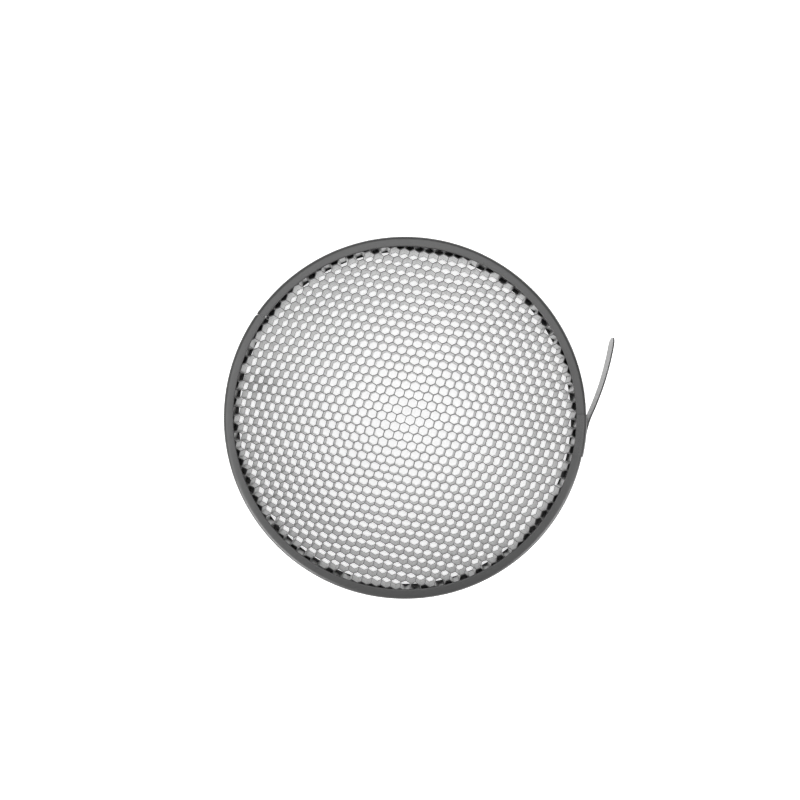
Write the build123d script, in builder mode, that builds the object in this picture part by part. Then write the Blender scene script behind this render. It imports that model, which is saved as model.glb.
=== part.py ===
"""A round honeycomb grid for a studio flash reflector, in millimetres.

The grid lies flat: +Z is the beam axis, the front face looks up, and the rear rim rests on z = 0. The origin
is on the ring's axis. Corrugated aluminium foil ribbons, bonded flat to flat, fill a rolled channel rim. The
rim's ends meet in a butt seam over a splice plate. A riveted spring clip carries a leaf tongue, which
presses against the inside of the reflector's mouth.
"""

from math import atan2, ceil, degrees, floor, radians, sqrt, tan
import os

from build123d import *

# Driving dimensions: the honeycomb core.
cell_size = 4.82  # across the flats of a regular cell: 3/16 inch core, a little over its nominal 4.76
cell_stretch = 1.013  # how much wider the core was pulled across its ribbons than regular cells are
beam_angle = 40.0  # the spread of light that a cell lets through
foil = 0.15  # thickness of one ribbon
ribbon_direction = 21.1  # the way the ribbons run, from +X
cell_centre = (-1.95, 0.03)  # one cell's centre, along the ribbons and across them
least_offcut = 3.0  # the shortest piece of ribbon that stays bonded at the core's edge
ribbon_bands = 36  # the stack of ribbons is shared out to this many nodes

# Driving dimensions: the rim.
rim_radius = 88.7
rim_sheet = 0.8
flange_width = 5.15
bend_radius = 2.0  # outside of the channel's bends
lip_round = 0.3
core_clearance = 0.1  # between the core and the front flange
core_margin = 1.3  # between the core and the inside of the rim's web
seam_angle = 145.2
seam_gap = 0.12
notch_width = 1.4  # the V where the seam's outer edges turn in
notch_depth = 0.7

# Driving dimensions: the splice plate and the rivets.
splice_sheet = 0.5
splice_arc = 16.0  # degrees
splice_margin = 0.6  # between the plate and the channel's bends
splice_round = 1.0
splice_rivet_turns = (-5.0, -2.5, 2.5, 5.0)  # degrees from the seam
splice_rivet_spacing = 4.8
shank_radius = 0.8
head_radius = 1.3
head_height = 0.25
tail_height = 0.35
running_gap = 0.05  # between curved faces that lie on each other
seat_gap = 0.02  # between a rivet's flat head and the curved face under it

# Driving dimensions: the spring clip and its leaf.
clip_sheet = 0.5
clip_start = -12.4  # degrees, where the clip's tab begins
clip_end = 1.0  # degrees, where the tab ends
leaf_start = -6.5  # degrees, where the leaf leaves the rim
leaf_margin = 0.04  # between the leaf's edges and the channel's bends
lance_gap = 0.3  # the slit between the leaf and the tab's bend
kick_radius = 40.0  # the bend that turns the leaf outwards
kick_angle = 18.0
leaf_radius = 140.0  # the leaf's own gentle curve, back round the ring
leaf_length = 39.4
tip_flat = 0.22  # what stays straight between the tip's two round corners
heel_gap = 0.1  # between the leaf's fixed root and the part that flexes
clip_rivet_angle = -9.6
clip_rivet_spacing = 5.4

# Worked out from these: the core.
wall = cell_size / sqrt(3)  # width of one cell wall
level_step = cell_size * cell_stretch / 2  # from one bond line to the next
half_period = wall + sqrt(wall**2 - level_step**2)
core_depth = cell_size / tan(radians(beam_angle / 2))

# Worked out from these: the rim and what is fastened to it.
rim_height = core_depth + core_clearance + 2 * rim_sheet
middle = rim_height / 2
web_height = rim_height - 2 * bend_radius
opening_radius = rim_radius - flange_width
web_inside = rim_radius - rim_sheet
core_radius = web_inside - core_margin
splice_height = web_height - 2 * splice_margin
splice_outside = web_inside - running_gap
clip_inside = rim_radius + running_gap
clip_outside = clip_inside + clip_sheet
leaf_width = web_height - 2 * leaf_margin
tip_round = (leaf_width - tip_flat) / 2
leaf_bottom = middle - leaf_width / 2
leaf_top = middle + leaf_width / 2

os.makedirs("parts", exist_ok=True)


def save(shape, name):
    """Labels a finished piece and writes it to its own file."""
    shape.label = name
    export_step(shape, f"parts/{name}.step")


def on_rim(radius, angle, height):
    """A plane that looks straight out of the ring, at this radius, angle and height."""
    outwards = Vector(1, 0, 0).rotate(Axis.Z, angle)
    return Plane(origin=outwards * radius + Vector(0, 0, height), x_dir=(0, 0, 1), z_dir=outwards)


def upright(angle):
    """The half-plane through the ring's axis at this angle, with its x outwards and its y up."""
    return Plane.XZ.rotated((0, 0, angle))


# The seats of the rivets' heads, and of the tails that are set inside the rim.
splice_places = [
    (seam_angle + turn, middle + side * splice_rivet_spacing / 2)
    for turn in splice_rivet_turns
    for side in (-1, 1)
]
splice_heads = [on_rim(rim_radius - seat_gap, *place) for place in splice_places]
splice_tails = [on_rim(splice_outside - splice_sheet - seat_gap, *place) for place in splice_places]
clip_places = [(clip_rivet_angle, middle + side * clip_rivet_spacing / 2) for side in (-1, 1)]
clip_heads = [on_rim(clip_outside + seat_gap, *place) for place in clip_places]
clip_tails = [on_rim(web_inside - seat_gap, *place) for place in clip_places]

below = (Align.CENTER, Align.CENTER, Align.MAX)
above = (Align.CENTER, Align.CENTER, Align.MIN)

# The rim: a C-section channel rolled into a ring, with its ends butted.
with BuildPart() as rim_channel:
    with BuildSketch(Plane.XZ) as channel:
        with Locations((rim_radius - flange_width / 2, middle)):
            Rectangle(flange_width, rim_height)
        fillet(channel.vertices().group_by(Axis.X)[-1], bend_radius)
        with Locations(((opening_radius + web_inside) / 2, middle)):
            Rectangle(web_inside - opening_radius, rim_height - 2 * rim_sheet, mode=Mode.SUBTRACT)
        fillet(channel.vertices().group_by(Axis.X)[-2], bend_radius - rim_sheet)
        fillet(channel.vertices().group_by(Axis.X)[0], lip_round)
    revolve(axis=Axis.Z)
    with BuildSketch(Plane.XY.rotated((0, 0, seam_angle))):
        with Locations((rim_radius - flange_width / 2, 0)):
            Rectangle(2 * flange_width, seam_gap)
        with BuildLine():
            Polyline(
                (rim_radius - notch_depth, 0),
                (rim_radius + notch_depth, notch_width),
                (rim_radius + notch_depth, -notch_width),
                close=True,
            )
        make_face()
    extrude(amount=rim_height, mode=Mode.SUBTRACT)
    with Locations(*splice_heads):
        CounterSinkHole(
            radius=shank_radius + running_gap,
            counter_sink_radius=head_radius + running_gap,
            depth=2 * rim_sheet,
            counter_sink_angle=90,
        )
    with Locations(*clip_heads):
        Hole(radius=shank_radius + running_gap, depth=2 * (clip_sheet + rim_sheet))
save(rim_channel.part, "rim_channel")

# The plate behind the seam, curved to the inside of the rim's web.
with BuildPart() as splice_plate:
    with BuildSketch(Plane.XY.offset(middle - splice_height / 2)):
        with BuildLine() as plate_line:
            CenterArc((0, 0), splice_outside - splice_sheet / 2, seam_angle - splice_arc / 2, splice_arc)
        trace(line_width=splice_sheet)
    extrude(amount=splice_height)
    fillet(splice_plate.edges().group_by(SortBy.LENGTH)[0], splice_round)
    with Locations(*splice_heads):
        Hole(radius=shank_radius + running_gap, depth=2 * (rim_sheet + splice_sheet))
save(splice_plate.part, "splice_plate")

# Rivets set flush with the outside of the rim.
with BuildPart() as splice_rivets:
    with Locations(*splice_heads):
        Cone(shank_radius, head_radius, head_radius - shank_radius, align=below)
        Cylinder(shank_radius, rim_sheet + running_gap + splice_sheet, align=below)
    with Locations(*splice_tails):
        Cylinder(head_radius, tail_height, align=below)
save(splice_rivets.part, "splice_rivets")


# The clip: a tab over the front flange, a web down the outside of the rim, and the leaf's bent root.
root_turn = kick_angle - degrees((clip_sheet / 2 + heel_gap) / kick_radius)
leaf_out = Vector(1, 0, 0).rotate(Axis.Z, leaf_start)
leaf_heading = leaf_out.rotate(Axis.Z, 90)
root_start = leaf_out * (clip_inside + clip_sheet / 2)
heel = JernArc(root_start, leaf_heading, kick_radius, -kick_angle) @ 1
heel_heading = leaf_heading.rotate(Axis.Z, -kick_angle)

with BuildPart() as spring_clip:
    with BuildSketch(upright(clip_start)) as clip_section:
        with BuildLine():
            Polyline(
                (opening_radius, rim_height),
                (opening_radius, rim_height + clip_sheet),
                (clip_outside, rim_height + clip_sheet),
                (clip_outside, leaf_bottom),
                (clip_inside, leaf_bottom),
                (clip_inside, rim_height),
                close=True,
            )
        make_face()
        corners = clip_section.vertices()
        inner_corner = corners.sort_by_distance((clip_inside, rim_height))[0]
        outer_corner = corners.sort_by_distance((clip_outside, rim_height + clip_sheet))[0]
        fillet(inner_corner, bend_radius + running_gap)
        fillet(outer_corner, bend_radius + running_gap + clip_sheet)
    revolve(axis=Axis.Z, revolution_arc=clip_end - clip_start)
    with BuildSketch(upright(leaf_start)):
        with Locations((clip_inside, 0)):
            Rectangle(2 * bend_radius, leaf_top + lance_gap, align=(Align.CENTER, Align.MIN))
    revolve(axis=Axis.Z, revolution_arc=2 * (clip_end - leaf_start), mode=Mode.SUBTRACT)
    with BuildSketch(Plane.XY.offset(leaf_bottom)):
        with BuildLine():
            JernArc(root_start, leaf_heading, kick_radius, -root_turn)
        trace(line_width=clip_sheet)
    extrude(amount=leaf_width)
    with Locations(*clip_heads):
        Hole(radius=shank_radius + running_gap, depth=2 * (clip_sheet + rim_sheet))
save(spring_clip.part, "spring_clip")

# The free part of the leaf, with a round heel that turns in place against the root.
with BuildPart() as leaf_tongue:
    with BuildSketch(Plane.XY.offset(leaf_bottom)):
        with BuildLine():
            JernArc(heel, heel_heading, leaf_radius, degrees(leaf_length / leaf_radius))
        trace(line_width=clip_sheet)
        with Locations(heel):
            Circle(clip_sheet / 2)
    extrude(amount=leaf_width)
    across_sheet = leaf_tongue.edges().filter_by(lambda edge: abs(edge.length - clip_sheet) < 0.01)
    fillet(across_sheet, tip_round)
save(leaf_tongue.part, "leaf_tongue")

# Low rivets through the clip's web and the rim.
with BuildPart() as clip_rivets:
    with Locations(*clip_heads):
        Cylinder(head_radius, head_height, align=above)
        Cylinder(shank_radius, clip_outside + 2 * seat_gap - web_inside, align=below)
    with Locations(*clip_tails):
        Cylinder(head_radius, tail_height, align=below)
save(clip_rivets.part, "clip_rivets")


def ribbon_outline(index):
    """The corners of one ribbon's section, which runs between bond levels index and index + 1."""
    low = cell_centre[1] + index * level_step + foil / 2
    high = low + level_step - foil
    slope = atan2(level_step - foil, half_period - wall)
    corner_shift = foil / 2 * tan(slope / 2)
    reach = core_radius + 2 * half_period
    first = floor((-reach - cell_centre[0]) / half_period)
    last = ceil((reach - cell_centre[0]) / half_period)
    outline = []
    for side in (1, -1):
        face = []
        for flat in range(first, last + 1):
            crest = 1 if (flat - index) % 2 == 0 else -1
            middle_of_flat = cell_centre[0] + flat * half_period
            half_flat = wall / 2 + crest * side * corner_shift
            height = (high if crest > 0 else low) + side * foil / 2
            face += [(middle_of_flat - half_flat, height), (middle_of_flat + half_flat, height)]
        outline += face[::side]
    return outline


def foil_ribbon(index):
    """One corrugated ribbon, cut to the round core, as its separate solids."""
    core_plane = Plane.XY.offset(rim_sheet).rotated((0, 0, ribbon_direction))
    with BuildSketch(core_plane) as section:
        Polygon(*ribbon_outline(index), align=None)
        Circle(core_radius, mode=Mode.INTERSECT)
    lengths = [face for face in section.sketch.faces() if face.area > least_offcut * foil]
    if not lengths:
        return []
    with BuildPart() as ribbon:
        extrude(lengths, amount=core_depth)
    return list(ribbon.part.solids())


# The core: the stack of ribbons, shared out evenly to the nodes.
first_ribbon = floor((-core_radius - cell_centre[1]) / level_step)
last_ribbon = floor((core_radius - cell_centre[1]) / level_step)
stack = [foil_ribbon(index) for index in range(first_ribbon, last_ribbon + 1)]
stack = [ribbon for ribbon in stack if ribbon]
for band in range(ribbon_bands):
    begin, end = len(stack) * band // ribbon_bands, len(stack) * (band + 1) // ribbon_bands
    solids = [solid for ribbon in stack[begin:end] for solid in ribbon]
    save(Compound(children=solids), f"foil_ribbons_{band + 1:02d}")
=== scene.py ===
"""The honeycomb grid as it looks: foil core, dark rolled rim, and the sprung leaf at its side.

Sizes and points are in millimetres, and become metres where a mesh or a node takes them. Lights are
placed in metres.
"""

import math

import bpy
import numpy as np
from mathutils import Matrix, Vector


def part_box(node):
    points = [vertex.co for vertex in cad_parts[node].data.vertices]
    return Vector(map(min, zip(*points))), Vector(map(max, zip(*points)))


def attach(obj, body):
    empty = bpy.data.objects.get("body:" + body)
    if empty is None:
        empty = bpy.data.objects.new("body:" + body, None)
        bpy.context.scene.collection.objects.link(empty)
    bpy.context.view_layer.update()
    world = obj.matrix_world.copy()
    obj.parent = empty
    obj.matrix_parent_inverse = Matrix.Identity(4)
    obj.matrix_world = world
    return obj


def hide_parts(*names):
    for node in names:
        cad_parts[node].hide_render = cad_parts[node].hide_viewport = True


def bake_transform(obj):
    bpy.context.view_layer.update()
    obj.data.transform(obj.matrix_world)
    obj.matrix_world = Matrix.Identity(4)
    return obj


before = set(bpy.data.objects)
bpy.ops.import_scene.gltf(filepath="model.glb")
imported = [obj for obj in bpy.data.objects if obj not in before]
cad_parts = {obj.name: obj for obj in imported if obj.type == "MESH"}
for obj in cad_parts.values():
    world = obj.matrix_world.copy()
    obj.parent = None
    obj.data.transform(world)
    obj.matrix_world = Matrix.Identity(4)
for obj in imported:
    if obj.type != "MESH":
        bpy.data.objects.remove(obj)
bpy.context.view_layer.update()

MM = 0.001
rng = np.random.default_rng(40)

# The core, in millimetres, as it was designed.
CELL_SIZE = 4.82
CELL_STRETCH = 1.013
FOIL = 0.15
RIBBON_DIRECTION = math.radians(21.1)
CELL_CENTRE = (-1.95, 0.03)
CORE_RADIUS = 86.6
LEAST_OFFCUT = 3.0
BANDS = 36
WALL = CELL_SIZE / math.sqrt(3)
BOND_WIDTH = 2.4  # of each bonded flat, a little less than the free walls
LEVEL_STEP = CELL_SIZE * CELL_STRETCH / 2
HALF_PERIOD = WALL + math.sqrt(WALL**2 - LEVEL_STEP**2)
BEND = 0.3  # inside the bends of the foil
# How the stack was pulled out of true: it sprang back, was sheared and drifted a little, and it has a
# bow that grows with the square of the distance from the middle.
SPRING_BACK = (0.9956, 1.0)  # along the ribbons and across them
SLANT = 0.0018  # shear in the ribbons' own directions
LEAN = 0.0015  # shear in x and y
DRIFT = (-0.24, 0.3)  # of the whole stack, in x and y
BOW = 2.04e-4  # per millimetre
BOW_X = BOW * np.array([[0.32, 0.36], [0.36, 1.5]])
BOW_Y = BOW * np.array([[-0.72, 0.25], [0.25, -0.39]])
BURR = 0.1  # how far the saw rolled each cut edge over
BURR_DEPTH = 0.25
CRUMPLE_SHIFT = 1.6  # radians by which the crumples move on between the rear edges and the front ones
TRIM_CLEARANCE = 0.02  # by which the foil stays inside the core's radius
ON_LEVEL = 1e-6  # how close to a bond level a point of a flat lies

# The rim.
RIM_RADIUS = 88.7
RIM_SHEET = 0.8
FLANGE_WIDTH = 5.15
RIM_BEND = 2.0
LIP_SHARE = 0.42  # the radius of a lip's corners, as a share of the sheet
CROWN = 0.07  # how far the flanges fall away at half their width from the ridge
RIDGE_RADIUS = 85.3
TURN_STEP = 0.5  # degrees between the rim's sections
SHARP_ANGLE = math.radians(50)
SEAM_ANGLE = 145.2
SEAM_SKEW = math.radians(20.0)  # the strip's ends weren't cut quite square
SEAM_GAP = 0.12
NOTCH_WIDTH = 1.4
NOTCH_DEPTH = 0.7
SKEW_REACH = 12.0  # degrees from the seam over which the mesh straightens up
# Where the paint is worn off beside the seam, coloured as bare metal that also stands in for a painted
# highlight on the seam's ends: a dot at the inner edge and a wedge at the outer one.
WORN_GLINT_DOT = 0.4
WORN_GLINT_OUTSIDE = 87.0

# The clip and the leaf. Angles are in degrees.
RUNNING_GAP = 0.05
CLIP_SHEET = 0.5
COATING = 0.2  # how much thicker the coated strip is, all on the side that faces the ring
CLIP_START, CLIP_END, LEAF_START = -12.4, 1.0, -6.5
LEAF_MARGIN = 0.04
LANCE_GAP = 0.3
KICK_RADIUS, KICK_ANGLE = 40.0, 18.0
LEAF_RADIUS, LEAF_LENGTH = 140.0, 39.4
TIP_FLAT = 2.2
KICK_STEPS, BLADE_STEPS, TIP_STEPS = 16, 60, 14
FINE_STEPS = 4000  # of the blade's line, from which the points of the rounded tip are chosen
EDGE_BEVEL = 0.05

# The rivets and the splice plate.
SPLICE_SHEET = 0.5
SPLICE_RIVET_TURNS = (-5.0, -2.5, 2.5, 5.0)
SPLICE_RIVET_SPACING = 4.8
CLIP_RIVET_ANGLE = -9.6
CLIP_RIVET_SPACING = 5.4
SHANK_RADIUS = 0.8
HEAD_RADIUS = 1.3
HEAD_HEIGHT = 0.25
FLUSH_SINK, FLUSH_RISE = 0.02, 0.07  # where the crown of a flush head starts, and its height
TAIL_HEIGHT = 0.35
CAP_ANGLE = 0.08  # radians from a dome's axis at which its small flat cap ends
RIVET_SIDES = 32
RIVET_SHARP_ANGLE = math.radians(40)

# Heights come from the frame.
core_bottom, core_top = (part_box("foil_ribbons_18")[i][2] / MM for i in (0, 1))
rim_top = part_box("rim_channel")[1][2] / MM
middle = rim_top / 2


# --- helpers -------------------------------------------------------------------------------------------


def new_mesh(name, verts, faces, material, smooth=True):
    """A mesh object from points in millimetres."""
    mesh = bpy.data.meshes.new(name)
    mesh.from_pydata((np.asarray(verts, float) * MM).tolist(), [], faces)
    mesh.validate()
    mesh.materials.append(material)
    mesh.shade_smooth() if smooth else mesh.shade_flat()
    obj = bpy.data.objects.new(name, mesh)
    bpy.context.scene.collection.objects.link(obj)
    return obj


def material(name, **sockets):
    """A Principled material with these values on the shader's own sockets."""
    mat = bpy.data.materials.new(name)
    mat.use_nodes = True
    shader = mat.node_tree.nodes["Principled BSDF"]
    for key, value in sockets.items():
        shader.inputs[key.replace("_", " ")].default_value = value
    return mat, mat.node_tree, shader


def node(tree, kind, **inputs):
    """A shader node with these values on its inputs."""
    made = tree.nodes.new(kind)
    for key, value in inputs.items():
        made.inputs[key.replace("_", " ")].default_value = value
    return made


def ramp(tree, source, low, high, at=(0.3, 0.7)):
    """A colour ramp between two greys or colours, read from a factor."""
    made = tree.nodes.new("ShaderNodeValToRGB")
    for element, position, value in zip(made.color_ramp.elements, at, (low, high)):
        element.position = position
        element.color = value if isinstance(value, tuple) else (value, value, value, 1)
    tree.links.new(source, made.inputs["Fac"])
    return made.outputs["Color"]


def bump(tree, shader, source, strength, distance):
    """Small relief on a shader, read from a height. The distance is in metres."""
    made = node(tree, "ShaderNodeBump", Strength=strength, Distance=distance)
    tree.links.new(source, made.inputs["Height"])
    tree.links.new(made.outputs["Normal"], shader.inputs["Normal"])


# --- camera, light and floor ---------------------------------------------------------------------------

CAMERA_DISTANCE = 430.0  # from the front of the core
CAMERA_OFFSET = (1.1, 1.1)  # from the axis of the ring
FLOOR_HALF = 6000.0
FLOOR_DROP = 0.4

camera_data = bpy.data.cameras.new("camera")
camera_data.lens = 39.65
camera_data.sensor_width = 36.0
camera_data.shift_x = -0.00885
camera_data.shift_y = 0.0195
camera = bpy.data.objects.new("camera", camera_data)
camera.location = (CAMERA_OFFSET[0] * MM, CAMERA_OFFSET[1] * MM, (core_top + CAMERA_DISTANCE) * MM)
bpy.context.scene.collection.objects.link(camera)
bpy.context.scene.camera = camera
bpy.context.scene.view_settings.view_transform = "Standard"


def area_light(name, location, width, height, power):
    """A soft box that faces the middle of the grid."""
    data = bpy.data.lights.new(name, "AREA")
    data.shape = "RECTANGLE"
    data.size = width
    data.size_y = height
    data.energy = power
    light = bpy.data.objects.new(name, data)
    light.location = location
    light.rotation_euler = (Vector() - Vector(location)).to_track_quat("-Z", "Y").to_euler()
    bpy.context.scene.collection.objects.link(light)


area_light("overhead", (0, 0.5, 1.1), 0.8, 1.0, 7.4)
area_light("left", (-0.65, -0.05, 1.1), 0.8, 0.7, 6.6)
area_light("right", (0.65, -0.05, 1.1), 0.8, 0.7, 4.2)
area_light("low_left", (-0.58, -0.52, 0.42), 0.55, 0.55, 9.5)
area_light("low_right", (0.62, -0.46, 0.3), 0.4, 0.4, 4.2)

world = bpy.data.worlds.new("studio")
world.use_nodes = True
world.node_tree.nodes["Background"].inputs["Color"].default_value = (1, 1, 1, 1)
world.node_tree.nodes["Background"].inputs["Strength"].default_value = 0.25
bpy.context.scene.world = world

floor_mat, *_ = material(
    "floor",
    Base_Color=(0.85, 0.85, 0.85, 1),
    Roughness=0.9,
    Emission_Color=(1, 1, 1, 1),
    Emission_Strength=0.78,
)
floor_corners = [(x * FLOOR_HALF, y * FLOOR_HALF, 0) for x, y in ((-1, -1), (1, -1), (1, 1), (-1, 1))]
floor = new_mesh("floor", floor_corners, [(0, 1, 2, 3)], floor_mat, smooth=False)
floor.location.z = -FLOOR_DROP * MM


# --- materials -----------------------------------------------------------------------------------------


def share_of_depth(tree, place):
    """How far up the core a point is: 0 at the rear edges, 1 at the front ones."""
    split = tree.nodes.new("ShaderNodeSeparateXYZ")
    tree.links.new(place.outputs["Object"], split.inputs["Vector"])
    share = node(tree, "ShaderNodeMapRange", From_Min=core_bottom * MM, From_Max=core_top * MM)
    tree.links.new(split.outputs["Z"], share.inputs["Value"])
    return share.outputs["Result"]


def multiply(tree, first, second):
    """The product of two colours or factors."""
    made = tree.nodes.new("ShaderNodeMix")
    made.data_type = "RGBA"
    made.blend_type = "MULTIPLY"
    made.inputs["Factor"].default_value = 1.0
    tree.links.new(first, made.inputs["A"])
    tree.links.new(second, made.inputs["B"])
    return made.outputs["Result"]


PAINTED_LIGHT_DIRECTION = (0.26, 0.97)  # painted shade: the foil is coloured darker away from this end, as the light falls on the core
# A darker patch of foil near the left edge.
DARK_PATCH_CENTRE = (-71.7, 16.9)
DARK_PATCH_HALF_SIZE = (9.5, 6.5)


def distance_from(tree, place, centre, half_size):
    """How far a point lies from a centre, seen along the axis: 1 at these half-sizes."""
    moved = node(
        tree,
        "ShaderNodeMapping",
        Scale=(1 / MM / half_size[0], 1 / MM / half_size[1], 0),
        Location=(-centre[0] / half_size[0], -centre[1] / half_size[1], 0),
    )
    tree.links.new(place.outputs["Object"], moved.inputs["Vector"])
    away = tree.nodes.new("ShaderNodeVectorMath")
    away.operation = "LENGTH"
    tree.links.new(moved.outputs["Vector"], away.inputs[0])
    return away.outputs["Value"]


def foil_material():
    """Rolled aluminium foil with faint rolling lines, a few stains and a darker patch, and painted shade:
    darker away from one side, towards the front edges and towards the rim.
    """
    mat, tree, shader = material("foil", Metallic=0.8, Roughness=0.3, Specular_Tint=(0.95, 0.95, 0.95, 1))
    place = tree.nodes.new("ShaderNodeTexCoord")
    cloud = node(tree, "ShaderNodeTexNoise", Scale=90.0, Detail=3.0)
    tree.links.new(place.outputs["Object"], cloud.inputs["Vector"])
    stains = ramp(tree, cloud.outputs["Fac"], 0.85, 1.0)
    # Painted light and shade: the foil is coloured lighter towards one side of the core and darker away from
    # it.
    side_light_reach = tree.nodes.new("ShaderNodeVectorMath")
    side_light_reach.operation = "DOT_PRODUCT"
    side_light_reach.inputs[1].default_value = (*PAINTED_LIGHT_DIRECTION, 0)
    tree.links.new(place.outputs["Object"], side_light_reach.inputs["Vector"])
    painted_side_light = node(
        tree,
        "ShaderNodeMapRange",
        From_Min=-CORE_RADIUS * MM,
        From_Max=CORE_RADIUS * MM,
        To_Min=0.52,
        To_Max=1.0,
    )
    tree.links.new(side_light_reach.outputs["Value"], painted_side_light.inputs["Value"])
    # Painted shade: the foil is coloured darker towards its front edges.
    painted_front_shade = ramp(tree, share_of_depth(tree, place), 1.0, 0.86, at=(0.0, 1.0))
    from_dark_patch = distance_from(tree, place, DARK_PATCH_CENTRE, DARK_PATCH_HALF_SIZE)
    dark_patch = ramp(tree, from_dark_patch, 0.5, 1.0, at=(0.55, 1.0))
    from_axis = distance_from(tree, place, (0, 0), (CORE_RADIUS, CORE_RADIUS))
    # Painted shade: the foil is coloured darker towards the rim.
    painted_rim_shade = ramp(tree, from_axis, 1.0, 0.72, at=(0.2, 1.0))
    shade = multiply(tree, multiply(tree, stains, painted_front_shade), painted_side_light.outputs["Result"])
    shade = multiply(tree, multiply(tree, shade, dark_patch), painted_rim_shade)
    tree.links.new(shade, shader.inputs["Base Color"])
    squeeze = node(tree, "ShaderNodeMapping", Scale=(300, 300, 4000))
    tree.links.new(place.outputs["Object"], squeeze.inputs["Vector"])
    lines = node(tree, "ShaderNodeTexNoise", Scale=1.0, Detail=2.0)
    tree.links.new(squeeze.outputs["Vector"], lines.inputs["Vector"])
    tree.links.new(ramp(tree, lines.outputs["Fac"], 0.24, 0.36), shader.inputs["Roughness"])
    bump(tree, shader, lines.outputs["Fac"], 0.15, 0.00002)
    return mat


def metal_material(name, metallic, grain_scale, shades, roughness):
    """Bare metal with a fine grain, which varies its grey and its roughness between two values."""
    mat, tree, shader = material(name, Metallic=metallic)
    place = tree.nodes.new("ShaderNodeTexCoord")
    grain = node(tree, "ShaderNodeTexNoise", Scale=grain_scale, Detail=3.0)
    tree.links.new(place.outputs["Object"], grain.inputs["Vector"])
    tree.links.new(ramp(tree, grain.outputs["Fac"], *shades), shader.inputs["Base Color"])
    tree.links.new(ramp(tree, grain.outputs["Fac"], *roughness), shader.inputs["Roughness"])
    return mat


def paint_material(name, shade, roughness):
    """Satin dark coating over sheet metal, with a fine tooth and slight unevenness."""
    mat, tree, shader = material(name, Metallic=0.0, Roughness=roughness, IOR=1.5)
    place = tree.nodes.new("ShaderNodeTexCoord")
    cloud = node(tree, "ShaderNodeTexNoise", Scale=60.0, Detail=4.0)
    tree.links.new(place.outputs["Object"], cloud.inputs["Vector"])
    colour = ramp(tree, cloud.outputs["Fac"], shade * 0.92, shade * 1.08)
    tree.links.new(colour, shader.inputs["Base Color"])
    tooth = node(tree, "ShaderNodeTexNoise", Scale=4500.0, Detail=2.0)
    tree.links.new(place.outputs["Object"], tooth.inputs["Vector"])
    uneven = ramp(tree, tooth.outputs["Fac"], roughness - 0.05, roughness + 0.07)
    tree.links.new(uneven, shader.inputs["Roughness"])
    bump(tree, shader, tooth.outputs["Fac"], 0.12, 0.00003)
    return mat


foil_mat = foil_material()
# The cut edges of the foil are rough, and coloured dark as painted shade for the dark their front edges
# show.
shaded_edge_mat = metal_material("foil_edge_painted_shade", 0.2, 1500.0, (0.07, 0.13), (0.6, 0.8))
rim_mat = paint_material("rim_paint", 0.029, 0.33)
clip_mat = paint_material("clip_paint", 0.032, 0.3)
# A darker copy of the clip's paint for the leaf's edges: painted shade for the dark line along them.
leaf_edge_shade_mat = paint_material("leaf_edge_painted_shade", 0.012, 0.5)
rivet_mat = paint_material("rivet_paint", 0.038, 0.3)
# Bare metal where the paint is worn by the seam, partly a painted highlight along the seam's ends.
worn_glint_mat = metal_material("worn_edge_and_glint", 0.7, 900.0, (0.3, 0.5), (0.3, 0.45))
plate_mat = metal_material("plate_metal", 1.0, 500.0, (0.5, 0.6), (0.35, 0.5))


# --- the foil core -------------------------------------------------------------------------------------


def bend_points(corner, before, after, radius, steps=3):
    """Points round a bend at corner, between unit directions before and after."""
    cosine = float(np.clip(np.dot(before, after), -1, 1))
    turn = math.acos(cosine)
    reach = radius * math.tan(turn / 2)
    start, end = corner - before * reach, corner + after * reach
    t = np.linspace(0, 1, steps + 1)[:, None]
    weight = 2 * math.cos(turn / 2) * t * (1 - t)
    rational = (1 - t) ** 2 * start + weight * corner + t**2 * end
    return rational / ((1 - t) ** 2 + weight + t**2)


def placed(points):
    """Points of the core's own pattern, turned to the ribbons' direction and pulled out of true."""
    cosine, sine = math.cos(RIBBON_DIRECTION), math.sin(RIBBON_DIRECTION)
    closed = points * SPRING_BACK + SLANT * points[:, ::-1]
    turned = closed @ np.array([[cosine, sine], [-sine, cosine]])
    bow = np.stack([np.einsum("ni,ij,nj->n", turned, shape, turned) for shape in (BOW_X, BOW_Y)], 1)
    return turned + LEAN * turned[:, ::-1] + bow + np.array(DRIFT)


def ribbon_line(index):
    """The mid-line of one ribbon, between bond levels index and index + 1, with rounded bends.

    The third column is the side that is bonded: 1 or -1 on a flat, and 0 on a slanting wall.
    """
    low = CELL_CENTRE[1] + index * LEVEL_STEP + FOIL / 2
    high = low + LEVEL_STEP - FOIL
    reach = CORE_RADIUS + 3 * HALF_PERIOD
    first = math.floor((-reach - CELL_CENTRE[0]) / HALF_PERIOD)
    last = math.ceil((reach - CELL_CENTRE[0]) / HALF_PERIOD)
    corners = []
    for flat in range(first, last + 1):
        level = high if (flat - index) % 2 == 0 else low
        centre = CELL_CENTRE[0] + flat * HALF_PERIOD
        corners += [(centre - BOND_WIDTH / 2, level), (centre + BOND_WIDTH / 2, level)]
    corners = np.array(corners)
    steps = np.diff(corners, axis=0)
    steps /= np.linalg.norm(steps, axis=1)[:, None]
    line = []
    for number in range(1, len(corners) - 1):
        around = bend_points(corners[number], steps[number - 1], steps[number], BEND)
        line += list(around)
        line.append((corners[number] + corners[number + 1]) / 2)
    line = np.array(line)
    bonded = np.where(line[:, 1] > high - ON_LEVEL, 1, np.where(line[:, 1] < low + ON_LEVEL, -1, 0))
    return np.column_stack([placed(line), bonded])


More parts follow.
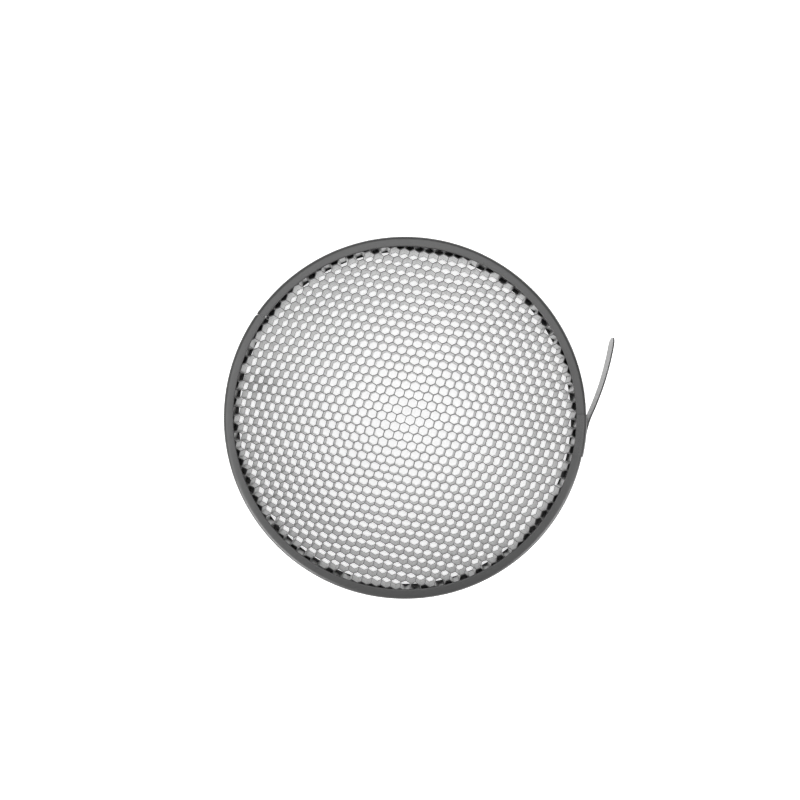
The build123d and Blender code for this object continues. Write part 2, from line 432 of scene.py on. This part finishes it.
def inside_runs(line):
    """The stretches of a line that lie inside the round core, cut exactly at its edge."""
    runs, run = [], []
    radii = np.hypot(line[:, 0], line[:, 1])
    for number in range(len(line) - 1):
        a, b, ra, rb = line[number], line[number + 1], radii[number], radii[number + 1]
        if ra <= CORE_RADIUS:
            run.append(a)
        if (ra <= CORE_RADIUS) != (rb <= CORE_RADIUS):
            cut = a + (b - a) * (CORE_RADIUS - ra) / (rb - ra)
            cut[2] = a[2]
            run.append(cut)
            if ra <= CORE_RADIUS:
                runs.append(np.array(run))
                run = []
    return [r for r in runs if np.linalg.norm(np.diff(r[:, :2], axis=0), axis=1).sum() > LEAST_OFFCUT]


class Ripple:
    """A smooth, slight unevenness, the same for every ribbon, so that bonded flats stay together."""

    def __init__(self, count, shortest, longest, size):
        lengths = rng.uniform(shortest, longest, count)
        turns = rng.uniform(0, 2 * math.pi, count)
        self.waves = np.stack([np.cos(turns), np.sin(turns)], 1) * (2 * math.pi / lengths)[:, None]
        self.phases = rng.uniform(0, 2 * math.pi, (count, 2))
        self.size = size / math.sqrt(count)

    def __call__(self, points, shift=0.0):
        angle = points @ self.waves.T
        moved = [np.sin(angle + self.phases[:, axis] + shift).sum(1) for axis in (0, 1)]
        return np.stack(moved, 1) * self.size


wander = Ripple(count=24, shortest=14.0, longest=60.0, size=0.11)
crumple = Ripple(count=24, shortest=4.0, longest=9.0, size=0.05)
BURR_SHARE = BURR_DEPTH / (core_top - core_bottom)
HEIGHTS = np.array([0, BURR_SHARE, 1 / 3, 2 / 3, 1 - BURR_SHARE, 1])


def ribbon_mesh(line):
    """Points, faces and cut-edge faces of one strip along a line, with its thickness and unevenness."""
    line, bonded_side = line[:, :2], line[:, 2]
    tangents = np.gradient(line, axis=0)
    tangents /= np.linalg.norm(tangents, axis=1)[:, None]
    normals = np.stack([-tangents[:, 1], tangents[:, 0]], 1)
    along = len(line)
    verts = []
    for side in (1, -1):
        for share in HEIGHTS:
            rolled = BURR if share in (0, 1) else 0
            out = side * (FOIL / 2 + np.where(bonded_side == side, 0, rolled))
            flat = line + normals * out[:, None]
            flat = flat + wander(line) + crumple(line, shift=CRUMPLE_SHIFT * share)
            radius = np.hypot(flat[:, 0], flat[:, 1])
            flat = flat * np.minimum(1, (CORE_RADIUS - TRIM_CLEARANCE) / radius)[:, None]
            z = np.full(along, core_bottom + (core_top - core_bottom) * share)
            verts.append(np.column_stack([flat, z]))
    levels = len(HEIGHTS)
    top, end = levels - 1, along - 1

    def at(side, level, number):
        return (side * levels + level) * along + number

    walls, cuts = [], []
    for n in range(end):
        for level in range(top):
            faces = cuts if level in (0, top - 1) else walls
            up = level + 1
            faces.append((at(0, level, n + 1), at(0, level, n), at(0, up, n), at(0, up, n + 1)))
            faces.append((at(1, level, n), at(1, level, n + 1), at(1, up, n + 1), at(1, up, n)))
        cuts.append((at(0, 0, n), at(0, 0, n + 1), at(1, 0, n + 1), at(1, 0, n)))
        cuts.append((at(0, top, n + 1), at(0, top, n), at(1, top, n), at(1, top, n + 1)))
    for level in range(top):
        cuts.append((at(0, level, 0), at(1, level, 0), at(1, level + 1, 0), at(0, level + 1, 0)))
        cuts.append((at(1, level, end), at(0, level, end), at(0, level + 1, end), at(1, level + 1, end)))
    return np.concatenate(verts), walls, cuts


def build_core():
    """All ribbons of the core, shared out over as many objects as the design has foil nodes."""
    first = math.floor((-CORE_RADIUS - CELL_CENTRE[1]) / LEVEL_STEP) - 1
    last = math.floor((CORE_RADIUS - CELL_CENTRE[1]) / LEVEL_STEP) + 1
    stack = [inside_runs(ribbon_line(index)) for index in range(first, last + 1)]
    stack = [runs for runs in stack if runs]
    for band in range(BANDS):
        begin, end = len(stack) * band // BANDS, len(stack) * (band + 1) // BANDS
        verts, walls, cuts, count = [], [], [], 0
        for line in [line for runs in stack[begin:end] for line in runs]:
            points, wall_quads, cut_quads = ribbon_mesh(line)
            verts.append(points)
            walls += [tuple(count + i for i in quad) for quad in wall_quads]
            cuts += [tuple(count + i for i in quad) for quad in cut_quads]
            count += len(points)
        name = f"foil_ribbons_{band + 1:02d}"
        obj = new_mesh(name + "_formed", np.concatenate(verts), walls + cuts, foil_mat, smooth=False)
        obj.data.materials.append(shaded_edge_mat)
        obj.data.polygons.foreach_set("material_index", [0] * len(walls) + [1] * len(cuts))
        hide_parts(name)
        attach(obj, "frame")


build_core()


# --- the rim -------------------------------------------------------------------------------------------


def arc(centre, radius, start, end, steps):
    """Points on an arc, with angles in degrees."""
    angles = np.radians(np.linspace(start, end, steps + 1))
    return [(centre[0] + radius * math.cos(a), centre[1] + radius * math.sin(a)) for a in angles]


def rim_profile():
    """The C-section of the rim as (radius, height) points, with its lips rounded."""
    inside, outside = RIM_RADIUS - FLANGE_WIDTH, RIM_RADIUS
    lip = RIM_SHEET * LIP_SHARE
    inner_bend = RIM_BEND - RIM_SHEET
    web = RIM_RADIUS - RIM_SHEET
    points = []
    points += arc((inside + lip, lip), lip, 180, 270, 4)
    across = np.linspace(inside + lip, outside - RIM_BEND, 8)[1:-1]
    points += [(radius, 0.0) for radius in across]
    points += arc((outside - RIM_BEND, RIM_BEND), RIM_BEND, 270, 360, 10)
    points += arc((outside - RIM_BEND, rim_top - RIM_BEND), RIM_BEND, 0, 90, 10)
    points += [(radius, rim_top) for radius in across[::-1]]
    points += arc((inside + lip, rim_top - lip), lip, 90, 180, 4)
    points += arc((inside + lip, rim_top - RIM_SHEET + lip), lip, 180, 270, 4)
    points += arc((web - inner_bend, rim_top - RIM_SHEET - inner_bend), inner_bend, 90, 0, 6)
    points += arc((web - inner_bend, RIM_SHEET + inner_bend), inner_bend, 0, -90, 6)
    points += arc((inside + lip, RIM_SHEET - lip), lip, 90, 180, 4)
    points = np.array(points)
    fall = CROWN * ((points[:, 0] - RIDGE_RADIUS) / (FLANGE_WIDTH / 2)) ** 2
    points[:, 1] += np.where(points[:, 1] > middle, -fall, fall)
    return points


def build_rim():
    """The rim turned round from one end of its strip to the other, with the open seam between them."""
    profile = rim_profile()
    half_gap = math.degrees(SEAM_GAP / 2 / RIM_RADIUS)
    half_notch = math.degrees(NOTCH_WIDTH / 2 / RIM_RADIUS)
    fine = half_gap + (half_notch - half_gap) * np.array([0, 0.125, 0.25, 0.5, 0.75, 1, 2])
    turns = np.concatenate([fine, np.arange(1.0, 359.0 + TURN_STEP, TURN_STEP), 360 - fine[::-1]])
    verts = []
    for turn in turns:
        near = min(turn, 360 - turn)
        pulled = max(0.0, 1 - near / half_notch) * NOTCH_DEPTH
        radius = np.minimum(profile[:, 0], RIM_RADIUS - pulled)
        skew = (RIM_RADIUS - radius) * math.tan(SEAM_SKEW) / radius
        angle = math.radians(SEAM_ANGLE + turn) - skew * max(0.0, 1 - near / SKEW_REACH)
        verts.append(np.stack([radius * np.cos(angle), radius * np.sin(angle), profile[:, 1]], 1))
    around, count = len(turns), len(profile)
    # Faces by the seam and its ends get the worn metal, partly a painted highlight.
    faces, worn_and_glinting = [], []
    for a in range(around - 1):
        turn = (turns[a] + turns[a + 1]) / 2
        off_seam = math.radians(min(turn, 360 - turn)) * RIM_RADIUS - SEAM_GAP / 2
        for p in range(count):
            q = (p + 1) % count
            faces.append((a * count + p, (a + 1) * count + p, (a + 1) * count + q, a * count + q))
            radius, height = (profile[p] + profile[q]) / 2
            outer = max(0.0, radius - WORN_GLINT_OUTSIDE) / (RIM_RADIUS - WORN_GLINT_OUTSIDE) * NOTCH_WIDTH / 2
            inner = WORN_GLINT_DOT if radius < RIM_RADIUS - FLANGE_WIDTH + WORN_GLINT_DOT else 0
            worn_and_glinting.append(height > middle and off_seam < max(outer, inner))
    faces.append(tuple(range(count)))
    faces.append(tuple((around - 1) * count + p for p in reversed(range(count))))
    worn_and_glinting += [True, True]
    rim = new_mesh("rim", np.concatenate(verts), faces, rim_mat)
    rim.data.materials.append(worn_glint_mat)
    rim.data.polygons.foreach_set("material_index", np.array(worn_and_glinting, dtype=int))
    rim.data.set_sharp_from_angle(angle=SHARP_ANGLE)
    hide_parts("rim_channel")
    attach(rim, "frame")


build_rim()


# --- the clip and the leaf -----------------------------------------------------------------------------

WEB_MID = RIM_RADIUS + RUNNING_GAP + CLIP_SHEET / 2
TAB_MID = rim_top + CLIP_SHEET / 2
CLIP_BEND = RIM_BEND + RUNNING_GAP + CLIP_SHEET / 2
BEND_RADIUS_AT = WEB_MID - CLIP_BEND
BEND_HEIGHT_AT = rim_top + CLIP_SHEET / 2 - CLIP_BEND
LEAF_WIDTH = rim_top - 2 * RIM_BEND - 2 * LEAF_MARGIN
LEAF_TOP = middle + LEAF_WIDTH / 2
TIP_ROUND = (LEAF_WIDTH - TIP_FLAT) / 2
SLIT = math.degrees(math.asin((LEAF_TOP + LANCE_GAP - BEND_HEIGHT_AT) / CLIP_BEND))


def heading_arc(start, heading, radius, turn, steps):
    """Points and headings along an arc that starts at a point with a heading; a positive turn is left."""
    side = 1 if turn > 0 else -1
    to_centre = heading + side * math.pi / 2
    centre = start + radius * np.array([math.cos(to_centre), math.sin(to_centre)])
    headings = heading + np.linspace(0, turn, steps + 1)
    from_centre = headings - side * math.pi / 2
    return centre + radius * np.stack([np.cos(from_centre), np.sin(from_centre)], 1), headings


def leaf_path():
    """The heel, where the kick meets the blade, and the mid-line of the leaf from the rim to its tip."""
    root = math.radians(LEAF_START)
    start = WEB_MID * np.array([math.cos(root), math.sin(root)])
    kick_turn = -math.radians(KICK_ANGLE)
    kick, headings = heading_arc(start, root + math.pi / 2, KICK_RADIUS, kick_turn, KICK_STEPS)
    heel, heading, turn = kick[-1], headings[-1], LEAF_LENGTH / LEAF_RADIUS
    blade, _ = heading_arc(heel, heading, LEAF_RADIUS, turn, BLADE_STEPS)
    near_tip = 1 - TIP_ROUND / LEAF_LENGTH * (1 - np.sin(np.linspace(0, math.pi / 2, TIP_STEPS + 1)))
    keep = np.arange(BLADE_STEPS + 1) / BLADE_STEPS < near_tip[0]
    rounded, _ = heading_arc(heel, heading, LEAF_RADIUS, turn, FINE_STEPS)
    tip = rounded[np.round(near_tip * FINE_STEPS).astype(int)]
    return heel, np.concatenate([kick[1:], blade[keep][1:], tip])


# The material slots of the strip's faces. The slot after each is for the edges of the same part.
LEAF_SLOT, TAB_SLOT = 0, 2


def build_clip():
    """One strip of spring sheet: tab, bend and web on the rim, and the leaf that bends away from it."""
    tab = [(r, TAB_MID) for r in np.linspace(RIM_RADIUS - FLANGE_WIDTH, BEND_RADIUS_AT, 5)]
    bend = arc((BEND_RADIUS_AT, BEND_HEIGHT_AT), CLIP_BEND, 90, SLIT, 10)[1:]
    web = [(WEB_MID, z) for z in np.linspace(LEAF_TOP, middle - LEAF_WIDTH / 2, 13)]
    section = tab + bend + web
    slit_row = len(tab) + len(bend) - 1
    verts, rows = [], {}

    def add(row, column, point):
        rows[row, column] = len(verts)
        verts.append(point)

    lap = np.linspace(CLIP_START, LEAF_START, 13)
    over = np.linspace(LEAF_START, CLIP_END, 16)[1:]
    for column, turn in enumerate(np.radians(np.concatenate([lap, over]))):
        for row, (r, z) in enumerate(section):
            if column < len(lap) or row <= slit_row:
                add(row, ("rim", column), (r * math.cos(turn), r * math.sin(turn), z))
    heel, path = leaf_path()
    to_tip = np.concatenate([[0], np.cumsum(np.linalg.norm(np.diff(path, axis=0), axis=1))])
    left = to_tip[-1] - to_tip
    for column, (x, y) in enumerate(path):
        inside = max(0.0, TIP_ROUND - left[column])
        half = LEAF_WIDTH / 2 - TIP_ROUND + math.sqrt(TIP_ROUND**2 - inside**2)
        for row in range(slit_row + 1, len(section)):
            share = (section[row][1] - middle) / (LEAF_WIDTH / 2)
            add(row, ("leaf", column), (x, y, middle + share * half))
    columns = [("rim", c) for c in range(len(lap) + len(over))]
    pairs = list(zip(columns[:-1], columns[1:]))
    pairs += [(("rim", len(lap) - 1), ("leaf", 0))]
    pairs += [(("leaf", c), ("leaf", c + 1)) for c in range(len(path) - 1)]
    faces, face_slots = [], []
    for before, after in pairs:
        for row in range(len(section) - 1):
            corners = [(row, before), (row + 1, before), (row + 1, after), (row, after)]
            if all(corner in rows for corner in corners):
                faces.append(tuple(rows[corner] for corner in corners))
                face_slots.append(LEAF_SLOT if after[0] == "leaf" else TAB_SLOT)
    clip = new_mesh("spring_clip_and_leaf", verts, faces, clip_mat)
    for mat in (leaf_edge_shade_mat, clip_mat, clip_mat):
        clip.data.materials.append(mat)
    clip.data.polygons.foreach_set("material_index", face_slots)
    sheet = clip.modifiers.new("sheet", "SOLIDIFY")
    sheet.thickness = (CLIP_SHEET + COATING) * MM
    sheet.offset = -COATING / (CLIP_SHEET + COATING)
    sheet.use_even_offset = True
    sheet.material_offset_rim = 1
    edges = clip.modifiers.new("edges", "BEVEL")
    edges.width = EDGE_BEVEL * MM
    edges.segments = 2
    edges.limit_method = "ANGLE"
    edges.angle_limit = SHARP_ANGLE
    edges.harden_normals = True
    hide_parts("spring_clip", "leaf_tongue")
    return clip, heel


clip, heel = build_clip()
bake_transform(clip)



# --- the rivets and the splice plate -------------------------------------------------------------------


def build_rivets(name, places, profile):
    """Rivets turned from a profile of (radius, height), with their heads outwards at (radius, angle, z)."""
    profile = np.array(profile)
    circle = np.linspace(0, 2 * math.pi, RIVET_SIDES, endpoint=False)
    verts, faces = [], []
    for seat, angle, height in places:
        turn = math.radians(angle)
        outwards = np.array([math.cos(turn), math.sin(turn), 0])
        sideways = np.array([-math.sin(turn), math.cos(turn), 0])
        centre = outwards * seat + np.array([0, 0, height])
        first = len(verts)
        for radius, rise in profile:
            for way in circle:
                across = math.cos(way) * sideways + math.sin(way) * np.array([0, 0, 1])
                verts.append(centre + outwards * rise + radius * across)
        for ring in range(len(profile) - 1):
            for side in range(RIVET_SIDES):
                after = (side + 1) % RIVET_SIDES
                low, high = first + ring * RIVET_SIDES, first + (ring + 1) * RIVET_SIDES
                faces.append((low + side, high + side, high + after, low + after))
        last = first + (len(profile) - 1) * RIVET_SIDES
        faces.append(tuple(first + side for side in range(RIVET_SIDES)))
        faces.append(tuple(last + side for side in reversed(range(RIVET_SIDES))))
    rivets = new_mesh(name + "_set", verts, faces, rivet_mat)
    rivets.data.set_sharp_from_angle(angle=RIVET_SHARP_ANGLE)
    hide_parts(name)
    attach(rivets, "frame")


def dome(radius, height, rise, steps=6):
    """A low turned dome from its centre outwards, which stands on a face at this height."""
    angles = np.linspace(CAP_ANGLE, math.pi / 2, steps + 1)
    return [(radius * math.sin(a), height + rise * math.cos(a)) for a in angles]


splice_grip = RIM_SHEET + RUNNING_GAP + SPLICE_SHEET
splice_profile = dome(HEAD_RADIUS, -FLUSH_SINK, FLUSH_RISE)
splice_profile += [(SHANK_RADIUS, SHANK_RADIUS - HEAD_RADIUS), (SHANK_RADIUS, -splice_grip)]
splice_profile += [(r, -splice_grip - h) for r, h in reversed(dome(HEAD_RADIUS, 0, TAIL_HEIGHT))]
build_rivets(
    "splice_rivets",
    [(RIM_RADIUS, SEAM_ANGLE + turn, middle + side * SPLICE_RIVET_SPACING / 2)
     for turn in SPLICE_RIVET_TURNS for side in (-1, 1)],
    splice_profile,
)
clip_grip = CLIP_SHEET + RUNNING_GAP + RIM_SHEET
clip_profile = dome(HEAD_RADIUS, 0, HEAD_HEIGHT)
clip_profile += [(SHANK_RADIUS, 0), (SHANK_RADIUS, -clip_grip)]
clip_profile += [(r, -clip_grip - h) for r, h in reversed(dome(HEAD_RADIUS, 0, TAIL_HEIGHT))]
build_rivets(
    "clip_rivets",
    [(RIM_RADIUS + RUNNING_GAP + CLIP_SHEET, CLIP_RIVET_ANGLE, middle + side * CLIP_RIVET_SPACING / 2)
     for side in (-1, 1)],
    clip_profile,
)

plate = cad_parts["splice_plate"]
plate.data.materials.clear()
plate.data.materials.append(plate_mat)
